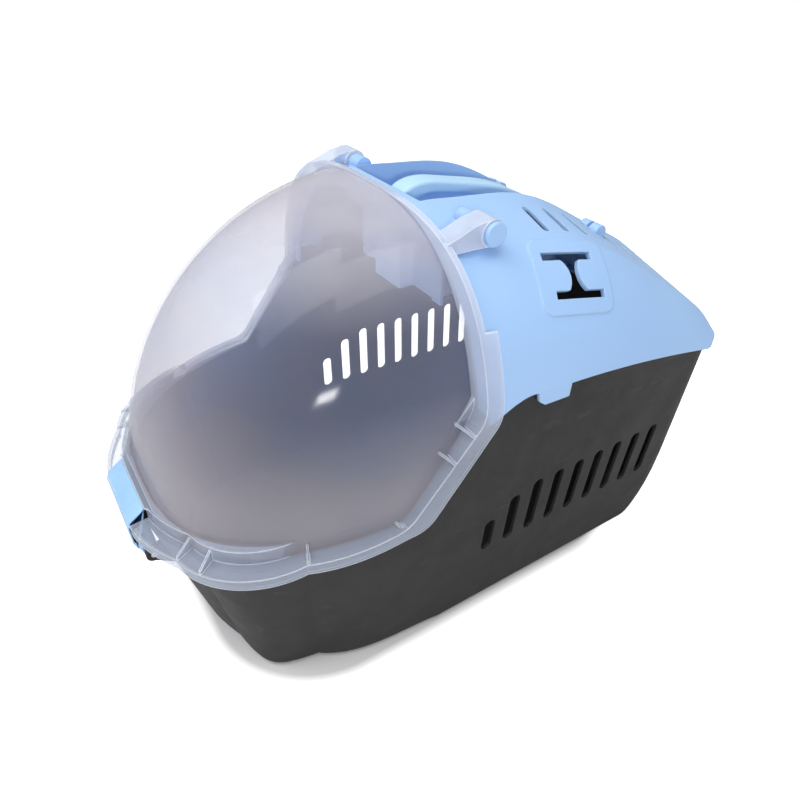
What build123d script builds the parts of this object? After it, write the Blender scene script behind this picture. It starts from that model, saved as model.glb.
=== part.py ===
from build123d import *
import os
from math import cos, hypot, pi, sin, sqrt

os.makedirs("parts", exist_ok=True)

# Pet carrier in millimetres: X across with +X the right side, +Y to the rear, Z up from the floor.

# Lower shell
wall = 3.0
rim_level = 150.0
tub_top = 250.0
rear_wall = 240.0
rear_corner = 28.0
foot_fillet = 7.0
foot_steps = 4
under_levels = (14.0, 24.0, 38.0, 56.0, 78.0)
under_depth = 32.0
slot_count = 9
slot_pitch = 23.6
slot_width = 11.0
slot_bottom = 70.8
slot_top = 130.0
first_slot_tops = (106.0, 123.0)
front_cut = ((-87, 151.2), (-30, 225.2), (-19, 225.2), (-19, 250))
front_cut_start = 128.2
front_cut_bend = 8.0
rim_points = ((-40, 240.0), (102, 229.5), (260, 195.0))

# Roof
roof_wall = 2.8
roof_half_width = 155.6
roof_front = -26.0
roof_rear = 252.5
roof_corner = 42.0
roof_skirt_bottom = 180.0
crease_share = 0.35
belly_shares = (0.8, 0.6)
crest_half_width = 47.0
recess_front = 2.0
recess_flat_end = 95.0
recess_rear = 187.0
recess_floor = 267.0
recess_rear_height = 283.5
frame_width = 18.0
rest_height = 0.3
rest_thickness = 2.5
rest_inner = 145.5
rest_rear = 234.0
snap_tab = (148.6, 22.5, 238.0)
snap_tab_size = (2.6, 35.0, 12.0)
snap_tab_room = (40.0, 24.0)
vent_length = 28.0
vent_width = 6.0
vent_centre = 78.0
vent_rows = (66.0, 87.0, 109.0, 132.0, 159.0, 182.0, 205.0)

# Belt slot in each side of the roof: two bars joined by a leaning, waisted stem, on a raised pad
belt_centre = (123.0, 66.0, 298.0)
belt_normal = (0.74, 0.0, 0.68)
belt_bar_length = 46.0
belt_bar_width = 6.0
belt_bar_centre = 14.2
belt_bar_shift = 2.6
belt_stem_flare = 13.0
belt_stem_waist = 4.2
belt_tilt = (0.118, 0.985, -0.1285)
belt_reach = 14.0
pad_length = 68.0
pad_width = 56.0
pad_corner = 9.0
pad_height = 1.0

# Carrying handle
handle_half_width = 10.0
handle_front = -9.0
handle_leg_rear = 3.5
handle_foot = 290.0
handle_rear = 118.0
handle_gap = 0.4
handle_edge = 3.0
handle_top = ((-5, 334.5), (9, 340), (39, 337), (75, 330), (111, 317.5), (handle_rear, 314))
handle_under = ((handle_rear, 300.5), (92, 312.5), (67, 321), (40, 326.5), (15, 329))
handle_shoulder = 322.0
tenon_half_width = 5.0
tenon_length = 12.0
tenon_bottom = 299.0
tenon_top = 307.0
tenon_gap = 0.1
socket_half_width = 18.0
socket_front = -12.0
socket_bottom = 262.0
handle_shelf = (0.0, crest_half_width, -15.5, recess_front, 318.0)
bucket_half_width = 58.0
block_half_width = 11.0
block_outline = ((118.4, 269.5), (118.4, 312.5), (135, 306), (152, 296.5), (166, 279.7), (166, 278.2))

# Clear front door
dome_half_width = 149.7
dome_radius = 226.0
dome_power = 2.77
dome_axis = (0, -6.8, 120.6)
door_wall = 2.5
ledge_thickness = 2.4
skirt_wall = 2.2
flange_half_width = 165.5
flange_radius = 226.0
flange_power = 3.2
flange_base = 120.0
skirt_spread = 8.0
skirt_flare = 4.0
skirt_rear = -17.0
band_spread = -6.0
curve_steps = 8
rib_thickness = 1.8
rib_outline = ((-9, 0), (7, 0), (7, 3), (-6, 11), (-9, 11))

# Door hinge
hinge_y = 6.0
hinge_z = 333.0
hub_radius = 9.5
hub_inner = 82.0
hub_outer = 102.0
hinge_pin_radius = 4.0
running_gap = 0.08
hinge_head_radius = 8.5
hinge_head_thickness = 3.2
boss_inner = 67.0
boss_outer = 80.6
boss_radius = 7.2
boss_base = 324.0
boss_flare = 1.6
blind_end = 1.0
arm_outline = ((-10, 324), (-31, 324), (-31, 332), (-20, 335.5), (-8, 340.5))
arm_inset = 1.0
head_edge = 1.0
head_gap = 0.6
hinge_pocket = (80.6, 108.0, -60.0, 18.0, 321.0)

# Front latch
latch_half_width = 30.0
latch_pin_y = -240.0
latch_pin_z = 103.0
latch_pin_radius = 2.5
knuckle_radius = 5.0
latch_notch = 33.0
latch_outline = (
    (-238, 148.5), (-250.5, 139.8), (-252.5, 134), (-251.6, 118), (-245.4, 100), (-242.6, 103),
    (-248.8, 118.5), (-249.8, 133.5), (-248.4, 137.8), (-238.2, 145.2),
)
latch_edge = 0.6
notch_wall = 2.4
tub_gap = 0.9
lug_inner = 31.0
lug_outer = 36.0
lug_radius = 6.0
lug_roots = ((-231, 113), (-226, 87))
door_swing_radius = 305.1
notch_view = ((-300.0, 100.0), (-200.0, 100.0), (-200.0, 170.0), (-300.0, 170.0))

# Rear studs
stud_y = 148.0
stud_z = 296.0
stud_radius = 6.5
stud_stem_radius = 3.5
stud_boss = (53.0, 61.0)
stud_boss_base = 293.5
stud_head = (64.0, 72.5)
stud_pocket = (61.0, 78.0, 140.5, 155.5, 287.0)

# A box far larger than the carrier, for the parting prisms, and how far a bore's cut runs past its ends
far_front = -300.0
far_top = 400.0
half_reach = 220.0
cut_margin = 1.0

# Half outlines in plan, centre line to flank, as nose, corner lobe and flank: at the floor and at the rim
foot_runs = (
    ((0, -206), (38, -204), (52, -200), (67, -194.5)),
    ((67, -194.5), (87, -190.5), (104, -182), (112, -166), (116, -147)),
    ((116, -147), (124, -134), (133.5, -99), (138.6, -40)),
)
rim_runs = (
    ((0, -243), (38, -242), (58, -236), (80.5, -224.5)),
    ((80.5, -224.5), (100.5, -216.2), (120, -197.4), (131, -173), (133, -157.5)),
    ((133, -157.5), (141.3, -136.5), (146, -112), (147, -92.5)),
)

# Parting lines in side view, from the arch plane down the slope and along the front
foot_line = ((-30, far_top), (-30, 243), (-89, 166.5), (far_front, 143.4))
ledge_line = ((-30, far_top), (-30, 226.7), (-87, 152.7), (far_front, 129.7))
lip_line = ((-18, far_top), (-18, 224), (-72, 147), (far_front, 124.5))
bend_radius = 22.0

# Eaves in side view: the pointed lobe at the front corner, the snap tab's cover and the long arc to the rear
eaves_lobe = ((-40, 221), (-18, 224.5), (-4, 231), (5, 233.4), (17, 233.2))
eaves_tab = (eaves_lobe[-1], (19, 225), (25, 220.5), (49, 219.5), (49.3, 231))
eaves_arc = (eaves_tab[-1], (150, 219.9), (260, 197.2))
eaves_edge = 1.0
corner_room = 226.5

# Roof cross-sections: y, crest height, crease x and z, belly of the side panel x and z, eaves height
roof_stations = (
    (roof_front, 339.5, 95, 325, 137, 285.6, 232),
    (0, 341, 95, 322, 137, 285, 232.5),
    (50, 337.1, 98, 320, 137.5, 281.6, 230.5),
    (100, 324.5, 107, 308, 140.5, 272.5, 226),
    (150, 299.2, 117, 283, 142, 257, 219.5),
    (200, 273.7, 130, 251, 146, 233.5, 209.5),
    (225, 256.8, 135, 232, 147, 219.5, 204.5),
    (240, 240, 138.2, 216, 147.5, 209, 201.5),
    (roof_rear, 215, 141, 201.5, 148.5, 200.8, 199),
)


# The rim outline at its six gussets, as a point, the outward direction and whether it is on the slope
gussets = (
    ((80.5, -224.5), (0.40, -0.92), False),
    ((100.5, -216.2), (0.55, -0.84), False),
    ((133.5, -156.0), (0.93, -0.37), False),
    ((147.0, -88.0), (1.0, 0.0), True),
    ((150.0, -52.0), (1.0, 0.0), True),
    ((151.0, -38.0), (1.0, 0.0), True),
)


# Half of the front outline at a height, moved outwards by spread
def front_runs(height, spread):
    share = height / rim_level
    chain = []
    for low_run, high_run in zip(foot_runs, rim_runs):
        for (low_x, low_y), (high_x, high_y) in zip(low_run, high_run):
            point = (low_x + (high_x - low_x) * share, low_y + (high_y - low_y) * share)
            if not chain or point != chain[-1]:
                chain.append(point)
    moved = []
    for index, (x, y) in enumerate(chain):
        if index == 0:
            normal_x, normal_y = 0.0, -1.0
        elif index == len(chain) - 1:
            normal_x, normal_y = 1.0, 0.0
        else:
            along_x = chain[index + 1][0] - chain[index - 1][0]
            along_y = chain[index + 1][1] - chain[index - 1][1]
            normal_x = along_y / hypot(along_x, along_y)
            normal_y = -along_x / hypot(along_x, along_y)
        moved.append((x + normal_x * spread, y + normal_y * spread))
    nose_end = len(foot_runs[0]) - 1
    lobe_end = nose_end + len(foot_runs[1]) - 1
    return moved[: nose_end + 1], moved[nose_end : lobe_end + 1], moved[lobe_end:]


def mirrored(points):
    return [(-x, y) for x, y in reversed(points)]


# Plan outline of the lower shell at a height, moved outwards by spread
def plan_outline(height, spread, back):
    nose, lobe, flank = front_runs(height, spread)
    side = flank[-1][0]
    corner = rear_corner + spread
    rounding = corner * (1 - sqrt(0.5))
    with BuildSketch(Plane.XY.offset(height)) as outline:
        with BuildLine():
            Spline(*mirrored(nose)[:-1], *nose)
            Spline(*lobe)
            Spline(*flank)
            Line(flank[-1], (side, back - corner))
            ThreePointArc((side, back - corner), (side - rounding, back - rounding), (side - corner, back))
            Line((side - corner, back), (corner - side, back))
            ThreePointArc((corner - side, back), (rounding - side, back - rounding), (-side, back - corner))
            Line((-side, back - corner), mirrored(flank)[0])
            Spline(*mirrored(flank))
            Spline(*mirrored(lobe))
        make_face()
    return outline.sketch


# Upright prism of the door's plan, which follows the rim and widens a little towards the arch
def door_prism(spread):
    nose, lobe, flank = front_runs(rim_level, spread)
    back = (flank[-1][0] + skirt_flare, skirt_rear)
    with BuildPart() as prism:
        with BuildSketch():
            with BuildLine():
                Spline(*mirrored(nose)[:-1], *nose)
                Spline(*lobe)
                Spline(*flank)
                Polyline(flank[-1], back, (-back[0], back[1]), mirrored(flank)[0])
                Spline(*mirrored(flank))
                Spline(*mirrored(lobe))
            make_face()
        extrude(amount=far_top)
    return prism.part


# Everything in front of and above a parting line, which may be moved forwards and up by a distance
def above(line, distance=0.0):
    normals = []
    for (start_y, start_z), (end_y, end_z) in zip(line, line[1:]):
        run = hypot(end_y - start_y, end_z - start_z)
        normals.append(((end_z - start_z) / run, (start_y - end_y) / run))
    moved = []
    for (y, z), (in_y, in_z), (out_y, out_z) in zip(line, normals[:1] + normals, normals + normals[-1:]):
        mitre = distance / (1 + in_y * out_y + in_z * out_z)
        moved.append((y + (in_y + out_y) * mitre, z + (in_z + out_z) * mitre))
    with BuildPart() as region:
        with BuildSketch(Plane.YZ):
            with BuildLine():
                FilletPolyline(*moved, radius=bend_radius)
                Polyline(moved[-1], (far_front - far_top, far_top), moved[0])
            make_face()
        extrude(amount=half_reach, both=True)
    return region.part


# A side view polygon run across the carrier between two distances from the centre plane, on both sides
def side_prism(points, outer, inner=0.0):
    with BuildPart() as prism:
        with BuildSketch(Plane.YZ):
            with BuildLine():
                Polyline(*points, close=True)
            make_face()
        extrude(amount=outer, both=True)
        if inner > 0:
            with BuildSketch(Plane.YZ):
                with BuildLine():
                    Polyline(*points, close=True)
                make_face()
            extrude(amount=inner, both=True, mode=Mode.SUBTRACT)
    return prism.part


# A rod along X at one side, or through both sides when it starts at the centre plane
def cross_rod(y, z, radius, inner, outer, sides=(1, -1)):
    with BuildPart() as rod:
        for side in sides:
            with BuildSketch(Plane.YZ.offset(side * inner)):
                with Locations((y, z)):
                    Circle(radius)
            extrude(amount=side * (outer - inner))
    return rod.part


# Body of the lower shell, whole or shrunk to its cavity, rounded along the floor and under the rear wall
def tub_body(inset):
    radius = foot_fillet - inset
    foot_angles = [pi / 2 * step / foot_steps for step in range(foot_steps + 1)]
    levels = [(radius * (1 - cos(angle)), radius * (1 - sin(angle))) for angle in foot_angles]
    levels += [(level, 0.0) for level in under_levels]
    levels.append((tub_top - inset, 0.0))
    sections = []
    for height, rounding in levels:
        under = sqrt(1 - max(0.0, 1 - height / under_levels[-1]) ** 2)
        back = rear_wall - under_depth * (1 - under) - inset - rounding
        sections.append(plan_outline(height + inset, -inset - rounding, back=back))
    with BuildPart() as body:
        loft(sections, ruled=True)
    return body.part


# The rim of the lower shell in side view, raised by a step, as three points of an arc
def rim_line(raised=0.0):
    return [(y, z + raised) for y, z in rim_points]


with BuildPart() as base_tub:
    add(tub_body(0.0))
    add(tub_body(wall), mode=Mode.SUBTRACT)
    with BuildSketch(Plane.YZ):
        with BuildLine():
            FilletPolyline((far_front, front_cut_start), *front_cut, radius=front_cut_bend)
            Polyline(
                front_cut[-1], (front_cut[-1][0], far_top), (far_front, far_top), (far_front, front_cut_start)
            )
        make_face()
    extrude(amount=half_reach, both=True, mode=Mode.SUBTRACT)
    with BuildSketch(Plane.YZ):
        with BuildLine():
            ThreePointArc(*rim_line())
            Polyline(rim_line()[-1], (rim_points[-1][0], far_top), (rim_points[0][0], far_top), rim_line()[0])
        make_face()
    extrude(amount=half_reach, both=True, mode=Mode.SUBTRACT)
    # Air slots in both sides, the first two shorter
    for index in range(slot_count):
        top = first_slot_tops[index] if index < len(first_slot_tops) else slot_top
        with BuildSketch(Plane.YZ):
            with Locations((index * slot_pitch, (slot_bottom + top) / 2)):
                SlotOverall(top - slot_bottom, slot_width, rotation=90)
        extrude(amount=half_reach, both=True, mode=Mode.SUBTRACT)
    # Snap tab standing on the rim inside each side of the roof
    with Locations(snap_tab, (-snap_tab[0], *snap_tab[1:])):
        Box(*snap_tab_size)
    # Lugs that hold the latch pin
    for side in (1, -1):
        with BuildSketch(Plane.YZ.offset(side * lug_inner)):
            with Locations((latch_pin_y, latch_pin_z)):
                Circle(lug_radius)
            with BuildLine():
                Polyline(
                    (latch_pin_y, latch_pin_z + lug_radius),
                    *lug_roots,
                    (latch_pin_y, latch_pin_z - lug_radius),
                    close=True,
                )
            make_face()
        extrude(amount=side * (lug_outer - lug_inner))
    add(
        cross_rod(latch_pin_y, latch_pin_z, latch_pin_radius, lug_inner, lug_outer),
        mode=Mode.SUBTRACT,
    )

base_tub.part.label = "base_tub"
export_step(base_tub.part, "parts/base_tub.step")


# One cross-section of the roof, shrunk by inset, standing at y
def roof_section(station, inset, y):
    _, crest, crease_x, crease_z, belly_x, belly_z, eave = station
    side = roof_half_width - inset
    slant = hypot(crease_x - crest_half_width, crest - crease_z)
    lean_x = (crest - crease_z) / slant
    lean_z = (crease_x - crest_half_width) / slant
    right = [
        (crest_half_width - inset * lean_x / 2, crest - inset),
        (crease_x - inset * (lean_x + crease_share), crease_z - inset * lean_z),
        (belly_x - inset * belly_shares[0], belly_z - inset * belly_shares[1]),
        (side, eave),
        (side, roof_skirt_bottom),
    ]
    left = [(-x, z) for x, z in right]
    with BuildSketch(Plane.XZ.offset(-y)) as section:
        with BuildLine():
            Line(left[0], right[0])
            Line(right[0], right[1])
            ThreePointArc(right[1], right[2], right[3])
            Line(right[3], right[4])
            Line(right[4], left[4])
            Line(left[4], left[3])
            ThreePointArc(left[3], left[2], left[1])
            Line(left[1], left[0])
        make_face()
    return section.sketch


# Body of the roof, whole or shrunk to its cavity
def roof_body(inset):
    sections = []
    for index, station in enumerate(roof_stations):
        y = station[0]
        if index == 0:
            y = y + inset
        if index == len(roof_stations) - 1:
            y = y - inset
        sections.append(roof_section(station, inset, y))
    with BuildPart() as body:
        loft(sections)
        with BuildSketch():
            with Locations((0, (far_front + roof_rear - inset) / 2)):
                Rectangle(2 * (roof_half_width - inset), roof_rear - inset - far_front)
            fillet(
                [v for v in vertices() if v.Y > 0],
                radius=roof_corner - inset,
            )
        extrude(amount=far_top, mode=Mode.INTERSECT)
    return body.part


# A pocket across the roof between two distances from the centre plane, open to the top
def pocket(inner, outer, front, back, floor, grow=0.0):
    return side_prism(
        [
            (front - grow, floor - grow),
            (back + grow, floor - grow),
            (back + grow, far_top),
            (front - grow, far_top),
        ],
        outer + grow,
        inner - grow,
    )


# The recess for the hand, or the outside of its bucket when grown by the wall
def recess(grow=0.0):
    return side_prism(
        [
            (recess_front - grow, recess_floor - grow),
            (recess_flat_end, recess_floor - grow),
            (recess_rear, recess_rear_height - grow),
            (recess_rear, far_top),
            (recess_front - grow, far_top),
        ],
        crest_half_width + grow,
    )


# Arch outline shared by the door's flange and the roof's front opening, run forward from one plane
def arch_prism(rear, depth, inset):
    across = flange_half_width - inset
    up = flange_radius - inset
    power = 2 / flange_power
    quarter = []
    for step in range(curve_steps + 1):
        angle = pi / 2 * step / curve_steps
        quarter.append((across * cos(angle) ** power, flange_base + up * sin(angle) ** power))
    with BuildPart() as prism:
        with BuildSketch(Plane.XZ.offset(-rear)):
            with BuildLine():
                Spline(*quarter[:-1], *mirrored(quarter))
                Polyline((-across, flange_base), (-across, 0), (across, 0), (across, flange_base))
            make_face()
        extrude(amount=depth)
    return prism.part


# Rounded pad, or the belt slot in it, run through the roof's side panel
def belt_prism(side, is_slot):
    lean, forward, fall = belt_tilt
    shift = side * belt_bar_shift
    plane = Plane(
        origin=(side * belt_centre[0], belt_centre[1], belt_centre[2]),
        x_dir=(side * lean, forward, fall),
        z_dir=(side * belt_normal[0], belt_normal[1], belt_normal[2]),
    )
    with BuildPart() as prism:
        with BuildSketch(plane.offset(-belt_reach)):
            if is_slot:
                with Locations((-shift, belt_bar_centre), (shift, -belt_bar_centre)):
                    Rectangle(belt_bar_length, belt_bar_width)
                with BuildLine():
                    for way in (1, -1):
                        ThreePointArc(
                            (way * belt_stem_flare - shift, belt_bar_centre),
                            (way * belt_stem_waist, 0),
                            (way * belt_stem_flare + shift, -belt_bar_centre),
                        )
                        Line(
                            (-belt_stem_flare - way * shift, way * belt_bar_centre),
                            (belt_stem_flare - way * shift, way * belt_bar_centre),
                        )
                make_face()
            else:
                RectangleRounded(pad_length, pad_width, pad_corner)
        extrude(amount=2 * belt_reach)
    return prism.part


# What is hollow under the roof's skin
def roof_cavity():
    with BuildPart() as cavity:
        add(roof_body(roof_wall))
        add(recess(roof_wall), mode=Mode.SUBTRACT)
        for dip in (handle_shelf, hinge_pocket, stud_pocket):
            add(pocket(*dip, grow=roof_wall), mode=Mode.SUBTRACT)
    return cavity.part


# Flanks and handle socket in front of the hand recess, and the step that rests on the lower shell's rim
def roof_inner_walls():
    top = roof_body(roof_wall / 2)
    shelf_floor = handle_shelf[-1]
    room_length, room_height = snap_tab_room
    with BuildPart() as walls:
        add(
            side_prism(
                [
                    (recess_front - roof_wall, socket_bottom),
                    (recess_front, socket_bottom),
                    (recess_front, far_top),
                    (recess_front - roof_wall, far_top),
                ],
                bucket_half_width,
                crest_half_width,
            )
        )
        add(
            side_prism(
                [
                    (socket_front, socket_bottom),
                    (recess_front, socket_bottom),
                    (recess_front, shelf_floor),
                    (socket_front, shelf_floor),
                ],
                socket_half_width,
            )
        )
        with BuildSketch(Plane.YZ):
            with BuildLine():
                ThreePointArc(*rim_line(rest_height))
                Line(rim_line(rest_height)[-1], rim_line(rest_height + rest_thickness)[-1])
                ThreePointArc(*reversed(rim_line(rest_height + rest_thickness)))
                Line(rim_line(rest_height + rest_thickness)[0], rim_line(rest_height)[0])
            make_face()
        extrude(amount=half_reach, both=True)
        with BuildSketch(Plane.XY.offset(roof_skirt_bottom)):
            Rectangle(2 * rest_inner, 2 * rest_rear)
            fillet(vertices(), radius=rear_corner - 2 * wall)
        extrude(amount=recess_floor - roof_skirt_bottom - 2 * roof_wall, mode=Mode.SUBTRACT)
        add(top, mode=Mode.INTERSECT)
        # Room for the snap tabs on the rim, and nothing of the step in front of the rim
        with Locations((0, *snap_tab[1:])):
            Box(2 * roof_half_width, room_length, room_height, mode=Mode.SUBTRACT)
        with Locations((0, far_front / 2 + front_cut[-1][0], rim_points[0][1])):
            Box(2 * roof_half_width, -far_front, room_length, mode=Mode.SUBTRACT)
    return walls.part


with BuildPart() as roof_cover:
    add(roof_body(0.0))
    # Raised pad round each belt slot
    add((belt_prism(1, is_slot=False) + belt_prism(-1, is_slot=False)) & roof_body(-pad_height))
    # Hand recess, shelf in front of it, and dips beside the hinge and stud bosses
    add(recess(), mode=Mode.SUBTRACT)
    for dip in (handle_shelf, hinge_pocket, stud_pocket):
        add(pocket(*dip), mode=Mode.SUBTRACT)
    add(roof_cavity(), mode=Mode.SUBTRACT)
    add(arch_prism(roof_front + 2 * roof_wall, 4 * roof_wall, frame_width), mode=Mode.SUBTRACT)
    add(roof_inner_walls())
    # Block that holds the handle's rear end
    add(side_prism(block_outline, block_half_width))
    # Bosses that hold the hinge pins and the rear studs
    for inner, outer, y, z, radius, base in (
        (boss_inner, boss_outer, hinge_y, hinge_z, boss_radius, boss_base),
        (*stud_boss, stud_y, stud_z, stud_radius, stud_boss_base),
    ):
        for side in (1, -1):
            with BuildSketch(Plane.YZ.offset(side * inner)):
                with Locations((y, z)):
                    Circle(radius)
                with BuildLine():
                    Polyline(
                        (y - radius, z),
                        (y - boss_flare * radius, base),
                        (y + boss_flare * radius, base),
                        (y + radius, z),
                        close=True,
                    )
                make_face()
            extrude(amount=side * (outer - inner))
    # Eaves, with a pointed lobe at the front corner and a snap tab on each side
    with BuildSketch(Plane.YZ):
        with BuildLine():
            Spline(*eaves_lobe)
            FilletPolyline(*eaves_tab, radius=eaves_edge)
            ThreePointArc(*eaves_arc)
            Polyline(eaves_arc[-1], (eaves_arc[-1][0], 0), (eaves_lobe[0][0], 0), eaves_lobe[0])
        make_face()
    extrude(amount=half_reach, both=True, mode=Mode.SUBTRACT)
    # Room for the lower shell's front corners behind the front frame
    with Locations((0, roof_front + roof_wall, 0)):
        Box(2 * (roof_half_width - roof_wall), 6 * roof_wall, 2 * corner_room, mode=Mode.SUBTRACT)
    # Cross slots and belt slots
    for y in vent_rows:
        with BuildSketch(Plane.XY.offset(roof_skirt_bottom)):
            with Locations((vent_centre, y), (-vent_centre, y)):
                SlotOverall(vent_length, vent_width)
        extrude(amount=far_top - roof_skirt_bottom, mode=Mode.SUBTRACT)
    for side in (1, -1):
        add(belt_prism(side, is_slot=True), mode=Mode.SUBTRACT)
    # Sockets for the handle and bores for the pins and studs
    with BuildSketch(Plane.XY.offset(handle_foot)):
        with Locations((0, (handle_front + recess_front) / 2)):
            Rectangle(2 * (handle_half_width + handle_gap), recess_front - handle_front + 2 * handle_gap)
    extrude(amount=far_top - handle_foot, mode=Mode.SUBTRACT)
    with Locations((0, handle_rear + tenon_length / 2 + 2 * tenon_gap, (tenon_bottom + tenon_top) / 2)):
        Box(
            2 * (tenon_half_width + tenon_gap),
            tenon_length + 6 * tenon_gap,
            tenon_top - tenon_bottom + 2 * tenon_gap,
            mode=Mode.SUBTRACT,
        )
    add(
        cross_rod(hinge_y, hinge_z, hinge_pin_radius, boss_inner + blind_end, boss_outer),
        mode=Mode.SUBTRACT,
    )
    add(
        cross_rod(stud_y, stud_z, stud_stem_radius, stud_boss[0] + blind_end, stud_boss[1]),
        mode=Mode.SUBTRACT,
    )

roof_cover.part.label = "roof_cover"
export_step(roof_cover.part, "parts/roof_cover.step")


with BuildPart() as carry_handle:
    with BuildSketch(Plane.YZ):
        with BuildLine():
            Spline((handle_front, handle_shoulder), *handle_top)
            Line(handle_top[-1], handle_under[0])
            Spline(*handle_under, (handle_leg_rear, handle_shoulder))
            Polyline(
                (handle_leg_rear, handle_shoulder),
                (handle_leg_rear, handle_foot),
                (handle_front, handle_foot),
                (handle_front, handle_shoulder),
            )
        make_face()
    extrude(amount=handle_half_width, both=True)
    grip_edges = carry_handle.faces().filter_by(Axis.X).edges()
    fillet(grip_edges.filter_by(GeomType.BSPLINE), radius=handle_edge)
    with Locations((0, handle_rear + tenon_length / 2, (tenon_bottom + tenon_top) / 2)):
        Box(2 * tenon_half_width, tenon_length, tenon_top - tenon_bottom)

carry_handle.part.label = "carry_handle"
export_step(carry_handle.part, "parts/carry_handle.step")


# Disc-headed pin and stud, one each side
def headed_pin(name, side, y, z, stem_radius, stem, head_radius, head):
    with BuildPart() as pin:
        add(cross_rod(y, z, stem_radius, *stem, sides=(side,)))
        add(cross_rod(y, z, head_radius, *head, sides=(side,)))
        fillet(pin.faces().sort_by(Axis.X)[-1 if side > 0 else 0].edges(), radius=head_edge)
    pin.part.label = name
    export_step(pin.part, f"parts/{name}.step")


pin_head_start = hub_outer + head_gap
for end, side in (("right", 1), ("left", -1)):
    headed_pin(
        f"hinge_pin_{end}",
        side,
        hinge_y,
        hinge_z,
        hinge_pin_radius,
        (boss_inner + blind_end, pin_head_start),
        hinge_head_radius,
        (pin_head_start, pin_head_start + hinge_head_thickness),
    )
    headed_pin(
        f"rear_stud_{end}",
        side,
        stud_y,
        stud_z,
        stud_stem_radius,
        (stud_boss[0] + blind_end, stud_head[0]),
        stud_radius,
        stud_head,
    )


# The dome is a superellipse turned about a cross axis
def dome_body(inset):
    across = dome_half_width - inset
    out = dome_radius - inset
    power = 2 / dome_power
    _, axis_y, axis_z = dome_axis
    half = []
    for step in range(2 * curve_steps + 1):
        angle = pi / 4 * step / curve_steps
        half.append((across * sin(angle) ** power, axis_y - out * abs(cos(angle)) ** power))
    half[-1] = (across, axis_y)
    with BuildPart() as dome:
        with BuildSketch(Plane.XY.offset(axis_z)):
            with BuildLine():
                Spline(*mirrored(half)[:-1], *half)
                Line((-across, axis_y), (across, axis_y))
            make_face()
        revolve(axis=Axis(dome_axis, (1, 0, 0)))
    return dome.part


# Flange block: inside the arch outline and inside the plan outline
def flange_block(inset):
    return arch_prism(skirt_rear, -far_front, inset) & door_prism(skirt_spread - inset)


# A triangular gusset across the ledge
def gusset(place, outward, is_on_slope, side):
    (x, y), (across, forward) = place, outward
    (bend_y, bend_z), (slope_y, slope_z) = ledge_line[2], ledge_line[1]
    if is_on_slope:
        rise = (slope_z - bend_z) / (slope_y - bend_y)
        tangent = (0, -side / hypot(1, rise), -side * rise / hypot(1, rise))
    else:
        rise = (bend_z - ledge_line[3][1]) / (bend_y - far_front)
        tangent = (forward, -side * across, 0)
    plane = Plane(
        origin=(side * x, y, bend_z + (y - bend_y) * rise + ledge_thickness / 2),
        x_dir=(side * across, forward, 0),
        z_dir=tangent,
    )
    with BuildPart() as rib:
        with BuildSketch(plane):
            Polygon(*rib_outline, align=None)
        extrude(amount=rib_thickness / 2, both=True)
    return rib.part


# The ring between the door's band, ledge and skirt, open underneath
def door_rim():
    before_foot = above(foot_line)
    before_ledge = above(ledge_line)
    before_lip = above(lip_line)
    over_ledge = above(ledge_line, ledge_thickness)
    band = door_prism(band_spread)
    block = flange_block(0.0)
    rim = (band & before_ledge) - before_foot
    rim += (block & before_lip) - over_ledge
    rim -= (flange_block(skirt_wall) & before_lip) - before_ledge
    rim -= door_prism(band_spread - door_wall) - above(foot_line, -door_wall)
    return rim


# End walls of the notch that the latch sits in, and the wall behind it on the arc of the door's swing
def notch_walls():
    below_foot = above(ledge_line) - above(foot_line)
    below_ledge = above(lip_line) - above(ledge_line, ledge_thickness)
    ends = (door_prism(band_spread) & below_foot) + (flange_block(0.0) & below_ledge)
    ends -= door_prism(tub_gap) - above(ledge_line)
    width = latch_notch + notch_wall
    with BuildPart() as end_walls:
        add(side_prism(notch_view, width, latch_notch))
        add(ends, mode=Mode.INTERSECT)
        add(cross_rod(hinge_y, hinge_z, door_swing_radius - notch_wall, 0, width), mode=Mode.SUBTRACT)
    with BuildPart() as back_wall:
        add(cross_rod(hinge_y, hinge_z, door_swing_radius, 0, width))
        add(cross_rod(hinge_y, hinge_z, door_swing_radius - notch_wall, 0, width), mode=Mode.SUBTRACT)
        add(side_prism(notch_view, width), mode=Mode.INTERSECT)
        add(below_foot, mode=Mode.INTERSECT)
    return end_walls.part + back_wall.part


# What the door must not reach in the notch, so that it swings clear of the latch
def swing_relief():
    with BuildPart() as relief:
        add(side_prism(notch_view, latch_notch))
        add(cross_rod(hinge_y, hinge_z, door_swing_radius, 0, latch_notch), mode=Mode.SUBTRACT)
    return relief.part


with BuildPart() as dome_door:
    add(dome_body(0.0) & above(ledge_line))
    add(door_rim())
    # Arms from the crest of the flange back to the hubs
    for side in (1, -1):
        with BuildSketch(Plane.YZ.offset(side * (hub_inner + arm_inset))):
            with BuildLine():
                Polyline(
                    *arm_outline,
                    (hinge_y, hinge_z + hub_radius),
                    (hinge_y, hinge_z - hub_radius),
                    close=True,
                )
            make_face()
        extrude(amount=side * (hub_outer - hub_inner - 2 * arm_inset))
    add(cross_rod(hinge_y, hinge_z, hub_radius, hub_inner, hub_outer))
    for place, outward, is_on_slope in gussets:
        for side in (1, -1):
            add(gusset(place, outward, is_on_slope, side))
    add(dome_body(door_wall), mode=Mode.SUBTRACT)
    # Notch for the latch, cut back to the arc of the door's own swing
    add(swing_relief(), mode=Mode.SUBTRACT)
    add(notch_walls())
    add(
        cross_rod(
            hinge_y, hinge_z, hinge_pin_radius + running_gap, hub_inner - cut_margin, hub_outer + cut_margin
        ),
        mode=Mode.SUBTRACT,
    )

dome_door.part.label = "dome_door"
export_step(dome_door.part, "parts/dome_door.step")


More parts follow.
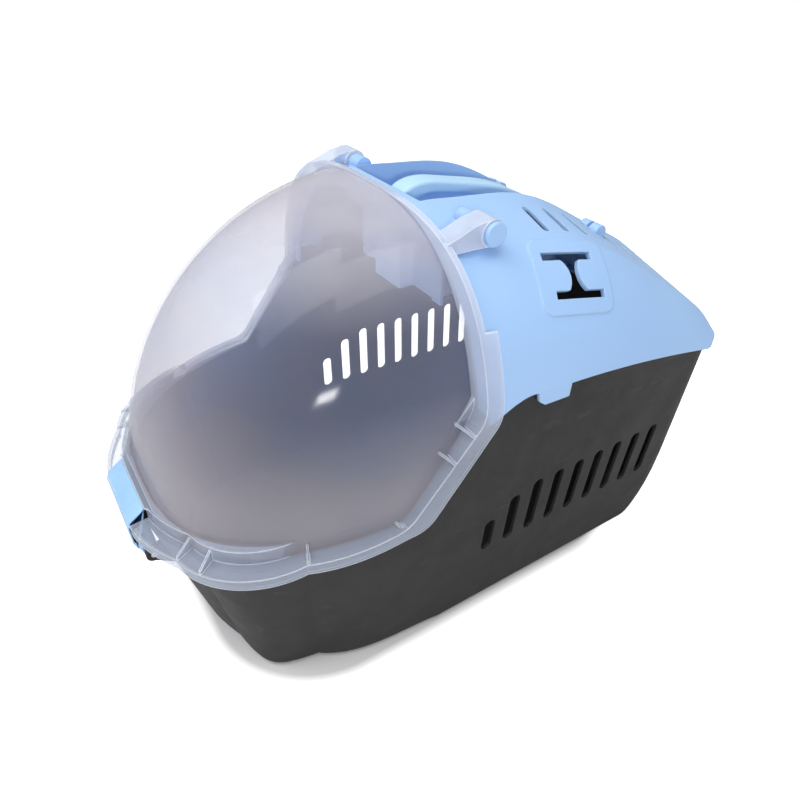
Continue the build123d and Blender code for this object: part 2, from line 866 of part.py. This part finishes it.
with BuildPart() as front_latch:
    with BuildSketch(Plane.YZ):
        with BuildLine():
            FilletPolyline(*latch_outline, radius=latch_edge)
            Line(latch_outline[-1], latch_outline[0])
        make_face()
        with Locations((latch_pin_y, latch_pin_z)):
            Circle(knuckle_radius)
    extrude(amount=latch_half_width, both=True)
    add(
        cross_rod(latch_pin_y, latch_pin_z, latch_pin_radius + running_gap, 0, latch_half_width + cut_margin),
        mode=Mode.SUBTRACT,
    )

front_latch.part.label = "front_latch"
export_step(front_latch.part, "parts/front_latch.step")


with BuildPart() as latch_pin:
    with BuildSketch(Plane.YZ):
        with Locations((latch_pin_y, latch_pin_z)):
            Circle(latch_pin_radius)
    extrude(amount=lug_outer, both=True)

latch_pin.part.label = "latch_pin"
export_step(latch_pin.part, "parts/latch_pin.step")
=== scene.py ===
import bpy
import bmesh
from math import cos, pi, radians, sin
from mathutils import Matrix, Vector


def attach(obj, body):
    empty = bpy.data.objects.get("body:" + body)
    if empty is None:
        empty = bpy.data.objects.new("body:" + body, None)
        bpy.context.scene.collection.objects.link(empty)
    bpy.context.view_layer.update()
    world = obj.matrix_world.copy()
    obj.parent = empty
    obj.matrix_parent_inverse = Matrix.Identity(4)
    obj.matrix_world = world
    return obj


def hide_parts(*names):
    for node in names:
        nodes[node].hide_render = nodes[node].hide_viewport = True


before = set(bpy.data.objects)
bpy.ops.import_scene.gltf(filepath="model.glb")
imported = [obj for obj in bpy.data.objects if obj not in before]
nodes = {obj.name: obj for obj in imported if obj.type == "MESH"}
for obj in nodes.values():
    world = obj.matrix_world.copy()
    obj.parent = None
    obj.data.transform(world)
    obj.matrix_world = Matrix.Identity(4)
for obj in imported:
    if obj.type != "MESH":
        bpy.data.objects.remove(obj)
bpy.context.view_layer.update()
print("frame loaded:", len(nodes), "nodes")


# Material helpers

def startMaterial(name):
    material = bpy.data.materials.new(name)
    material.use_nodes = True
    tree = material.node_tree
    return material, tree, tree.nodes["Principled BSDF"]


def setOrLink(tree, socket, value):
    if isinstance(value, bpy.types.NodeSocket):
        tree.links.new(value, socket)
    else:
        socket.default_value = value


def addNode(tree, kind, settings=None, inputs=None):
    node = tree.nodes.new(kind)
    for key, value in (settings or {}).items():
        setattr(node, key, value)
    for key, value in (inputs or {}).items():
        setOrLink(tree, node.inputs[key], value)
    return node


def noise(tree, place, scale, detail=3.0, roughness=0.5):
    inputs = {"Vector": place, "Scale": scale, "Detail": detail, "Roughness": roughness}
    return addNode(tree, "ShaderNodeTexNoise", inputs=inputs).outputs["Fac"]


def spread(tree, value, low, high, toLow, toHigh):
    inputs = {"Value": value, "From Min": low, "From Max": high, "To Min": toLow, "To Max": toHigh}
    return addNode(tree, "ShaderNodeMapRange", inputs=inputs).outputs["Result"]


def blendColour(tree, share, first, second):
    mix = addNode(tree, "ShaderNodeMix", {"data_type": "RGBA"})
    for index, value in ((0, share), (6, first), (7, second)):
        setOrLink(tree, mix.inputs[index], value)
    return mix.outputs[2]


def opaque(colour):
    return (*colour, 1.0)


def maths(tree, operation, *values):
    return addNode(tree, "ShaderNodeMath", {"operation": operation}, dict(enumerate(values))).outputs[0]


def vectorMaths(tree, operation, *values):
    node = addNode(tree, "ShaderNodeVectorMath", {"operation": operation}, dict(enumerate(values)))
    return node.outputs["Value"]


def flatVector(tree, x, y):
    return addNode(tree, "ShaderNodeCombineXYZ", inputs={"X": x, "Y": y}).outputs[0]


def separated(tree, vector):
    return addNode(tree, "ShaderNodeSeparateXYZ", inputs={"Vector": vector}).outputs


def objectPlace(tree):
    return addNode(tree, "ShaderNodeTexCoord").outputs["Object"]


# Mask of the rays that see the white studio: straight from the camera or through the clear door
def seenDirectly(tree):
    path = addNode(tree, "ShaderNodeLightPath").outputs
    return maths(tree, "MAXIMUM", path["Is Camera Ray"], path["Is Transmission Ray"])


# A normal softened over a moulded edge, and the edge's share at each point, from how far that normal leans
edgeLook = {"samples": 4, "startLean": 0.995, "fullLean": 0.82}


def softNormal(tree, radius):
    settings = {"samples": edgeLook["samples"]}
    return addNode(tree, "ShaderNodeBevel", settings, {"Radius": radius}).outputs["Normal"]


def edgeShare(tree, softened):
    facing = addNode(tree, "ShaderNodeNewGeometry").outputs["Normal"]
    lean = vectorMaths(tree, "DOT_PRODUCT", softened, facing)
    return spread(tree, lean, edgeLook["startLean"], edgeLook["fullLean"], 0.0, 1.0)


# Moulded plastic: slow colour drift, fine spark-eroded grain, faint scuffs, softened edges, and a painted
# highlight that makes the edges lighter
mouldingLook = {
    "driftDetail": 2.0,
    "driftFrom": 0.35,
    "driftTo": 0.65,
    "grainDetail": 4.0,
    "grainRoughness": 0.6,
    "patchScale": 34.0,
    "patchDetail": 5.0,
    "patchRoughness": 0.62,
    "patchFrom": 0.3,
    "patchTo": 0.7,
    "smoother": 0.05,
    "rougher": 0.07,
    "grainDepth": 0.0004,
    "scuffScale": (90.0, 22.0, 70.0),
    "scuffTurn": (0.5, 0.2, 0.3),
    "scuffDetail": 6.0,
    "scuffRoughness": 0.7,
    "scuffFade": 0.12,
}


def scuffShare(tree, place, look):
    inputs = {"Vector": place, "Scale": mouldingLook["scuffScale"], "Rotation": mouldingLook["scuffTurn"]}
    stretched = addNode(tree, "ShaderNodeMapping", inputs=inputs).outputs["Vector"]
    lines = noise(tree, stretched, 1.0, mouldingLook["scuffDetail"], mouldingLook["scuffRoughness"])
    start = look["scuffFrom"]
    return spread(tree, lines, start, start + mouldingLook["scuffFade"], 0.0, look["scuffShare"])


def mouldedPlastic(name, look):
    material, tree, surface = startMaterial(name)
    place = objectPlace(tree)
    shared = mouldingLook
    drift = noise(tree, place, look["driftScale"], shared["driftDetail"])
    grain = noise(tree, place, look["grainScale"], shared["grainDetail"], shared["grainRoughness"])
    patches = noise(tree, place, shared["patchScale"], shared["patchDetail"], shared["patchRoughness"])
    share = spread(tree, drift, shared["driftFrom"], shared["driftTo"], 0.0, 1.0)
    colour = blendColour(tree, share, opaque(look["colour"]), opaque(look["otherColour"]))
    if "scuffColour" in look:
        colour = blendColour(tree, scuffShare(tree, place, look), colour, opaque(look["scuffColour"]))
    softened = softNormal(tree, look["edge"])
    # Painted highlight: the edges are blended towards a lighter colour, standing in for light caught on the
    # rounded edge
    if "paintedEdgeHighlight" in look:
        paintedHighlight = maths(tree, "MULTIPLY", edgeShare(tree, softened), look["paintedEdgeHighlightAmount"])
        colour = blendColour(tree, paintedHighlight, colour, opaque(look["paintedEdgeHighlight"]))
    setOrLink(tree, surface.inputs["Base Color"], colour)
    smooth, rough = look["roughness"] - shared["smoother"], look["roughness"] + shared["rougher"]
    uneven = spread(tree, patches, shared["patchFrom"], shared["patchTo"], smooth, rough)
    setOrLink(tree, surface.inputs["Roughness"], uneven)
    inputs = {
        "Height": grain,
        "Strength": look["grainStrength"],
        "Distance": shared["grainDepth"],
        "Normal": softened,
    }
    bump = addNode(tree, "ShaderNodeBump", inputs=inputs)
    setOrLink(tree, surface.inputs["Normal"], bump.outputs["Normal"])
    surface.inputs["Specular IOR Level"].default_value = look.get("specular", 0.5)
    return material


def finishNode(name, material):
    mesh = nodes[name].data
    mesh.materials.clear()
    mesh.materials.append(material)


# Lower shell
darkShellLook = {
    "colour": (0.022, 0.022, 0.023),
    "otherColour": (0.029, 0.028, 0.028),
    "driftScale": 7.0,
    "grainScale": 900.0,
    "grainStrength": 0.08,
    "roughness": 0.52,
    "edge": 0.0012,
    "scuffColour": (0.10, 0.10, 0.10),
    "scuffFrom": 0.60,
    "scuffShare": 0.30,
    # painted highlight along the shell's edges
    "paintedEdgeHighlight": (0.075, 0.075, 0.078),
    "paintedEdgeHighlightAmount": 0.5,
    "specular": 0.22,
}
finishNode("base_tub", mouldedPlastic("darkShell", darkShellLook))

# Roof
roofLook = {
    "colour": (0.355, 0.565, 0.900),
    "otherColour": (0.380, 0.595, 0.925),
    # painted highlight along the roof's edges, such as the eaves
    "paintedEdgeHighlight": (0.62, 0.80, 0.97),
    "paintedEdgeHighlightAmount": 0.8,
    "driftScale": 5.0,
    "grainScale": 1700.0,
    "grainStrength": 0.12,
    "roughness": 0.42,
    "edge": 0.0014,
}
finishNode("roof_cover", mouldedPlastic("blueRoof", roofLook))

# Carrying handle
handleLook = {
    "colour": (0.460, 0.720, 0.970),
    "otherColour": (0.490, 0.740, 0.975),
    # painted highlight along the handle's edges
    "paintedEdgeHighlight": (0.58, 0.78, 0.97),
    "paintedEdgeHighlightAmount": 0.5,
    "driftScale": 14.0,
    "grainScale": 1700.0,
    "grainStrength": 0.10,
    "roughness": 0.36,
    "edge": 0.0030,
}
finishNode("carry_handle", mouldedPlastic("blueHandle", handleLook))

# Hinge pins and rear studs
fittingLook = {
    "colour": (0.36, 0.58, 0.93),
    "otherColour": (0.39, 0.61, 0.94),
    "driftScale": 40.0,
    "grainScale": 2000.0,
    "grainStrength": 0.08,
    "roughness": 0.36,
    "edge": 0.0008,
}
blueFitting = mouldedPlastic("blueFitting", fittingLook)
for fitting in ("hinge_pin_right", "hinge_pin_left", "rear_stud_right", "rear_stud_left"):
    finishNode(fitting, blueFitting)

print("shells, handle and fittings finished")


# Front latch: the solid's flap, spread to the door's notch above the lugs, with its edges rounded over.
# Outlines are points of Y and Z, and widths are along X.
latchLook = {
    "outerFace": (
        (-0.2380, 0.1485),
        (-0.2505, 0.1398),
        (-0.2525, 0.1340),
        (-0.2516, 0.1180),
        (-0.2495, 0.1120),
    ),
    "root": ((-0.2485, 0.1090), (-0.2454, 0.1000), (-0.2426, 0.1030), (-0.2450, 0.1090)),
    "innerFace": (
        (-0.2462, 0.1120),
        (-0.2488, 0.1185),
        (-0.2498, 0.1335),
        (-0.2484, 0.1378),
        (-0.2382, 0.1452),
    ),
    "halfWidth": 0.0324,
    "rootHalfWidth": 0.0300,
    "cheek": (
        (-0.2386, 0.1474),
        (-0.2502, 0.1394),
        (-0.2520, 0.1340),
        (-0.2512, 0.1187),
        (-0.2472, 0.1172),
        (-0.2425, 0.1300),
        (-0.2396, 0.1430),
    ),
    "cheekThickness": 0.0022,
    "rounding": 0.0007,
    "roundingSteps": 3,
    "roundingProfile": 0.5,
    "sharpAngle": 20.0,
    "smoothAngle": 35.0,
    "pin": (-0.2400, 0.1030),
    "knuckleRadius": 0.0050,
    "boreRadius": 0.00258,
    "knuckleSides": 48,
    "colour": (0.32, 0.56, 0.90),
    "otherColour": (0.36, 0.61, 0.92),
    "driftScale": 25.0,
    "grainScale": 2000.0,
    "grainStrength": 0.06,
    "roughness": 0.26,
    "edge": 0.0010,
}


def addBand(solid, ring, nextRing):
    for index in range(len(ring)):
        after = (index + 1) % len(ring)
        solid.faces.new((ring[after], ring[index], nextRing[index], nextRing[after]))


# Closed solid between two end outlines of as many points
def addPrism(solid, first, second):
    ends = [[solid.verts.new(point) for point in outline] for outline in (first, second)]
    caps = [solid.faces.new(ends[0]), solid.faces.new(list(reversed(ends[1])))]
    addBand(solid, *ends)
    bmesh.ops.triangulate(solid, faces=caps)


# The flap, narrower at its root between the lugs, and a cheek that closes each end of it
def addFlap(solid, look):
    points = [(look["halfWidth"], *point) for point in look["outerFace"]]
    points += [(look["rootHalfWidth"], *point) for point in look["root"]]
    points += [(look["halfWidth"], *point) for point in look["innerFace"]]
    addPrism(solid, points, [(-half, y, z) for half, y, z in points])
    reaches = (look["halfWidth"] - look["cheekThickness"], look["halfWidth"])
    for side in (1, -1):
        addPrism(solid, *([(side * reach, *point) for point in look["cheek"]] for reach in reaches))
    bmesh.ops.recalc_face_normals(solid, faces=solid.faces[:])
    sharp = [edge for edge in solid.edges if edge.calc_face_angle(0.0) > radians(look["sharpAngle"])]
    bmesh.ops.bevel(
        solid,
        geom=sharp,
        offset=look["rounding"],
        segments=look["roundingSteps"],
        profile=look["roundingProfile"],
        affect="EDGES",
    )


# Tube round the latch pin: its outer wall, then its bore
def addKnuckle(solid, look):
    pinY, pinZ = look["pin"]
    half, outside, bore = look["rootHalfWidth"], look["knuckleRadius"], look["boreRadius"]
    turns = [2 * pi * step / look["knuckleSides"] for step in range(look["knuckleSides"])]
    rings = [
        [solid.verts.new((x, pinY + radius * cos(turn), pinZ + radius * sin(turn))) for turn in turns]
        for x, radius in ((half, outside), (-half, outside), (-half, bore), (half, bore))
    ]
    for ring, nextRing in zip(rings, rings[1:] + rings[:1]):
        addBand(solid, ring, nextRing)


def makeLatch(look):
    mesh = bpy.data.meshes.new("latchFlap")
    solid = bmesh.new()
    addFlap(solid, look)
    addKnuckle(solid, look)
    bmesh.ops.recalc_face_normals(solid, faces=solid.faces[:])
    for face in solid.faces:
        face.smooth = True
    solid.to_mesh(mesh)
    solid.free()
    mesh.set_sharp_from_angle(angle=radians(look["smoothAngle"]))
    mesh.materials.append(mouldedPlastic("skyLatch", look))
    flap = bpy.data.objects.new("latchFlap", mesh)
    bpy.context.scene.collection.objects.link(flap)
    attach(flap, "latch")
    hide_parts("front_latch")


makeLatch(latchLook)
print("front latch finished")


# Clear door: milky plastic, whose haze thickens where the wall is seen edge on. The dome is a superellipsoid,
# and the rim, arch and arms outside it are thicker, so they look milkier. Over the top of the rim the arch is
# made lighter and milkier still as painted light, and the dome's crest and foot are lighter partly from drawn
# plastic, partly as a painted reflection.
clearLook = {
    "colour": (0.31, 0.40, 0.66),
    "otherColour": (0.54, 0.49, 0.58),
    "rimColour": (0.47, 0.53, 0.66),
    # the arch, the rim's top, made lighter and milkier than the rest of the rim as painted light
    "archPaintedLightColour": (0.68, 0.76, 0.93),
    "archFrom": 0.20,
    "archTo": 0.26,
    "archHaze": 0.10,
    # lighter colour over the crest and the foot: partly drawn plastic, partly a painted reflection
    "drawnAndPaintedReflectionColour": (0.68, 0.65, 0.71),
    "crestFrom": 0.285,
    "crestTo": 0.335,
    "crestHaze": 0.20,
    "crestShare": 0.8,
    "footFrom": 0.245,
    "footTo": 0.180,
    "footHaze": 0.05,
    "footShare": 0.7,
    "flowScale": 6.0,
    "flowDetail": 4.0,
    "flowRoughness": 0.55,
    "flowFrom": 0.3,
    "flowTo": 0.7,
    "leastDrawn": 0.6,
    "mostDrawn": 1.4,
    "rippleScale": 28.0,
    "rippleDetail": 1.0,
    "rippleStrength": 0.10,
    "rippleDepth": 0.0005,
    "edgeBlend": 0.35,
    "haze": 0.14,
    "edgeHaze": 0.50,
    "rimHaze": 0.10,
    "litHaze": 0.36,
    "litColour": (0.84, 0.89, 0.97),
    "edge": 0.0015,
    "mostHaze": 0.95,
    "roughness": 0.11,
    "domeBack": 0.0068,
    "domeHigh": 0.1206,
    "domeHalfWidth": 0.1497,
    "domeRadius": 0.226,
    "domePower": 2.77,
    "rimStart": 1.012,
    "rimFull": 1.03,
}


# Rises from nothing on the dome's surface to 1 just outside it
def rimMask(tree, parts, look):
    backward = maths(tree, "ADD", parts["Y"], look["domeBack"])
    upward = maths(tree, "SUBTRACT", parts["Z"], look["domeHigh"])
    radius = vectorMaths(tree, "LENGTH", flatVector(tree, backward, upward))
    across = maths(tree, "DIVIDE", maths(tree, "ABSOLUTE", parts["X"]), look["domeHalfWidth"])
    outward = maths(tree, "DIVIDE", radius, look["domeRadius"])
    swell = maths(
        tree,
        "ADD",
        maths(tree, "POWER", across, look["domePower"]),
        maths(tree, "POWER", outward, look["domePower"]),
    )
    return spread(tree, swell, look["rimStart"], look["rimFull"], 0.0, 1.0)


def clearPlastic(name, look):
    material, tree, surface = startMaterial(name)
    place = objectPlace(tree)
    parts = separated(tree, place)
    high = parts["Z"]
    flow = noise(tree, place, look["flowScale"], look["flowDetail"], look["flowRoughness"])
    isRim = rimMask(tree, parts, look)
    isHigh = spread(tree, high, look["crestFrom"], look["crestTo"], 0.0, look["crestShare"])
    isLow = spread(tree, high, look["footFrom"], look["footTo"], 0.0, look["footShare"])
    # Painted light: the rim is made lighter and milkier towards its top
    isArch = maths(tree, "MULTIPLY", isRim, spread(tree, high, look["archFrom"], look["archTo"], 0.0, 1.0))
    isEdge = maths(tree, "MULTIPLY", edgeShare(tree, softNormal(tree, look["edge"])), isRim)

    share = spread(tree, flow, look["flowFrom"], look["flowTo"], 0.0, 1.0)
    colour = blendColour(tree, share, opaque(look["colour"]), opaque(look["otherColour"]))
    for mask, shade in (
        # crest and foot: partly a painted reflection
        (maths(tree, "MAXIMUM", isHigh, isLow), "drawnAndPaintedReflectionColour"),
        (isRim, "rimColour"),
        # arch: painted light
        (isArch, "archPaintedLightColour"),
        (isEdge, "litColour"),
    ):
        colour = blendColour(tree, mask, colour, opaque(look[shade]))
    setOrLink(tree, surface.inputs["Base Color"], colour)

    facing = addNode(tree, "ShaderNodeLayerWeight", inputs={"Blend": look["edgeBlend"]}).outputs["Facing"]
    haze = spread(tree, facing, 0.0, 1.0, look["haze"], look["edgeHaze"])
    # More haze over the crest and the foot, which with their lighter colour is partly a painted reflection
    crest = spread(tree, high, look["crestFrom"], look["crestTo"], 0.0, look["crestHaze"])
    foot = spread(tree, high, look["footFrom"], look["footTo"], 0.0, look["footHaze"])
    drawn = spread(tree, flow, look["flowFrom"], look["flowTo"], look["leastDrawn"], look["mostDrawn"])
    haze = maths(tree, "ADD", haze, maths(tree, "MULTIPLY", maths(tree, "ADD", crest, foot), drawn))
    for mask, amount in ((isRim, "rimHaze"), (isArch, "archHaze"), (isEdge, "litHaze")):
        haze = maths(tree, "ADD", haze, maths(tree, "MULTIPLY", mask, look[amount]))
    setOrLink(tree, surface.inputs["Alpha"], maths(tree, "MINIMUM", haze, look["mostHaze"]))

    surface.inputs["Roughness"].default_value = look["roughness"]
    inputs = {
        "Height": noise(tree, place, look["rippleScale"], look["rippleDetail"]),
        "Strength": look["rippleStrength"],
        "Distance": look["rippleDepth"],
    }
    bump = addNode(tree, "ShaderNodeBump", inputs=inputs)
    setOrLink(tree, surface.inputs["Normal"], bump.outputs["Normal"])
    return material


finishNode("dome_door", clearPlastic("clearDoor", clearLook))
print("clear door finished")


# Latch pin: drawn steel, with fine lines round it
pinLook = {
    "colour": (0.56, 0.56, 0.58),
    "lineScale": (900.0, 60.0, 60.0),
    "lineFrom": 0.3,
    "lineTo": 0.7,
    "smooth": 0.25,
    "rough": 0.45,
}


def drawnSteel(name, look):
    material, tree, surface = startMaterial(name)
    inputs = {"Vector": objectPlace(tree), "Scale": look["lineScale"]}
    stretched = addNode(tree, "ShaderNodeMapping", inputs=inputs).outputs["Vector"]
    lines = noise(tree, stretched, 1.0)
    uneven = spread(tree, lines, look["lineFrom"], look["lineTo"], look["smooth"], look["rough"])
    setOrLink(tree, surface.inputs["Roughness"], uneven)
    surface.inputs["Base Color"].default_value = opaque(look["colour"])
    surface.inputs["Metallic"].default_value = 1.0
    return material


finishNode("latch_pin", drawnSteel("steelPin", pinLook))
print("latch pin finished")


# Floor: pale and lit, and white to the camera all round. The white fades out just beside the carrier's foot,
# a rounded box, so the lit floor there keeps the shadow.
floorLook = {
    "radius": 8.0,
    "segments": 96,
    "sink": 0.0002,
    "colour": (0.90, 0.90, 0.91),
    "roughness": 0.9,
    "specular": 0.1,
    "glow": 0.80,
    "glowColour": (1.0, 1.0, 1.0),
    "shadowReach": 0.012,
    "footHalfLength": 0.207,
    "footHalfWidth": 0.139,
    "footCorner": 0.09,
}


def floorGlow(tree, look):
    place = separated(tree, addNode(tree, "ShaderNodeNewGeometry").outputs["Position"])
    corner = look["footCorner"]
    beside = []
    for axis, reach in (("X", look["footHalfWidth"] - corner), ("Y", look["footHalfLength"] - corner)):
        past = maths(tree, "SUBTRACT", maths(tree, "ABSOLUTE", place[axis]), reach)
        beside.append(maths(tree, "MAXIMUM", past, 0.0))
    gap = vectorMaths(tree, "LENGTH", flatVector(tree, *beside))
    strength = spread(tree, gap, corner, corner + look["shadowReach"], 0.0, look["glow"])
    inputs = {"Color": opaque(look["glowColour"]), "Strength": strength}
    return addNode(tree, "ShaderNodeEmission", inputs=inputs).outputs[0]


def makeFloor(look):
    mesh = bpy.data.meshes.new("studioFloor")
    disc = bmesh.new()
    bmesh.ops.create_circle(disc, cap_ends=True, segments=look["segments"], radius=look["radius"])
    disc.to_mesh(mesh)
    disc.free()
    floor = bpy.data.objects.new("studioFloor", mesh)
    floor.location.z = -look["sink"]
    bpy.context.scene.collection.objects.link(floor)
    material, tree, surface = startMaterial("paleFloor")
    surface.inputs["Base Color"].default_value = opaque(look["colour"])
    surface.inputs["Roughness"].default_value = look["roughness"]
    surface.inputs["Specular IOR Level"].default_value = look["specular"]
    dark = addNode(tree, "ShaderNodeEmission", inputs={"Strength": 0.0}).outputs[0]
    inputs = {0: seenDirectly(tree), 1: dark, 2: floorGlow(tree, look)}
    white = addNode(tree, "ShaderNodeMixShader", inputs=inputs).outputs[0]
    total = addNode(tree, "ShaderNodeAddShader", inputs={0: surface.outputs[0], 1: white}).outputs[0]
    tree.links.new(total, tree.nodes["Material Output"].inputs["Surface"])
    mesh.materials.append(material)


makeFloor(floorLook)


# Even white surroundings, seen by the camera as pure white
worldLook = {"colour": (1.0, 1.0, 1.0), "light": 0.45, "seen": 1.0}


def makeWorld(look):
    world = bpy.data.worlds.new("studioWorld")
    bpy.context.scene.world = world
    world.use_nodes = True
    tree = world.node_tree
    back = tree.nodes["Background"]
    strength = spread(tree, seenDirectly(tree), 0.0, 1.0, look["light"], look["seen"])
    setOrLink(tree, back.inputs["Strength"], strength)
    back.inputs["Color"].default_value = opaque(look["colour"])


makeWorld(worldLook)


# Soft lamps: one in front, one above, and a window that makes the dome's highlight.
# Places and sizes are in metres, and power is in watts.
lamps = {
    "keyLamp": {"place": (-0.4, -0.9, 1.8), "size": (1.2, 1.2), "power": 16.0},
    "windowLamp": {"place": (1.45, -0.78, 0.72), "size": (0.26, 0.11), "power": 7.5},
    "topLamp": {"place": (0.35, -0.1, 1.9), "size": (1.0, 1.0), "power": 10.0},
}
lampTarget = Vector((0, 0, 0.2))


def makeLamp(name, look):
    lamp = bpy.data.lights.new(name, "AREA")
    lamp.shape = "RECTANGLE"
    lamp.size, lamp.size_y = look["size"]
    lamp.energy = look["power"]
    holder = bpy.data.objects.new(name, lamp)
    holder.location = look["place"]
    holder.rotation_mode = "QUATERNION"
    holder.rotation_quaternion = (lampTarget - holder.location).to_track_quat("-Z", "Y")
    bpy.context.scene.collection.objects.link(holder)


for lampName, lampLook in lamps.items():
    makeLamp(lampName, lampLook)


# The photograph's camera: angles in degrees, place in metres, focal length in pixels of an 800 pixel frame
photoView = {
    "azimuth": 56.216,
    "elevation": 35.88,
    "roll": 1.769,
    "place": (0.40875, -0.26928, 0.49135),
    "focalPixels": 646.43,
    "framePixels": 800.0,
    "sensor": 36.0,
    "nearest": 0.01,
    "farthest": 50.0,
}


def makeCamera(view):
    turn, rise, tilt = (radians(view[angle]) for angle in ("azimuth", "elevation", "roll"))
    back = Vector((sin(turn) * cos(rise), -cos(turn) * cos(rise), sin(rise)))
    right = Vector((0, 0, 1)).cross(back).normalized()
    up = back.cross(right)
    across = right * cos(tilt) + up * sin(tilt)
    above = up * cos(tilt) - right * sin(tilt)
    camera = bpy.data.cameras.new("photoCamera")
    camera.sensor_width = view["sensor"]
    camera.lens = view["sensor"] * view["focalPixels"] / view["framePixels"]
    camera.clip_start = view["nearest"]
    camera.clip_end = view["farthest"]
    holder = bpy.data.objects.new("photoCamera", camera)
    turned = Matrix((across, above, back)).transposed().to_4x4()
    holder.matrix_world = Matrix.Translation(view["place"]) @ turned
    bpy.context.scene.collection.objects.link(holder)
    bpy.context.scene.camera = holder


makeCamera(photoView)
bpy.context.scene.view_settings.view_transform = "Standard"
print("studio ready")
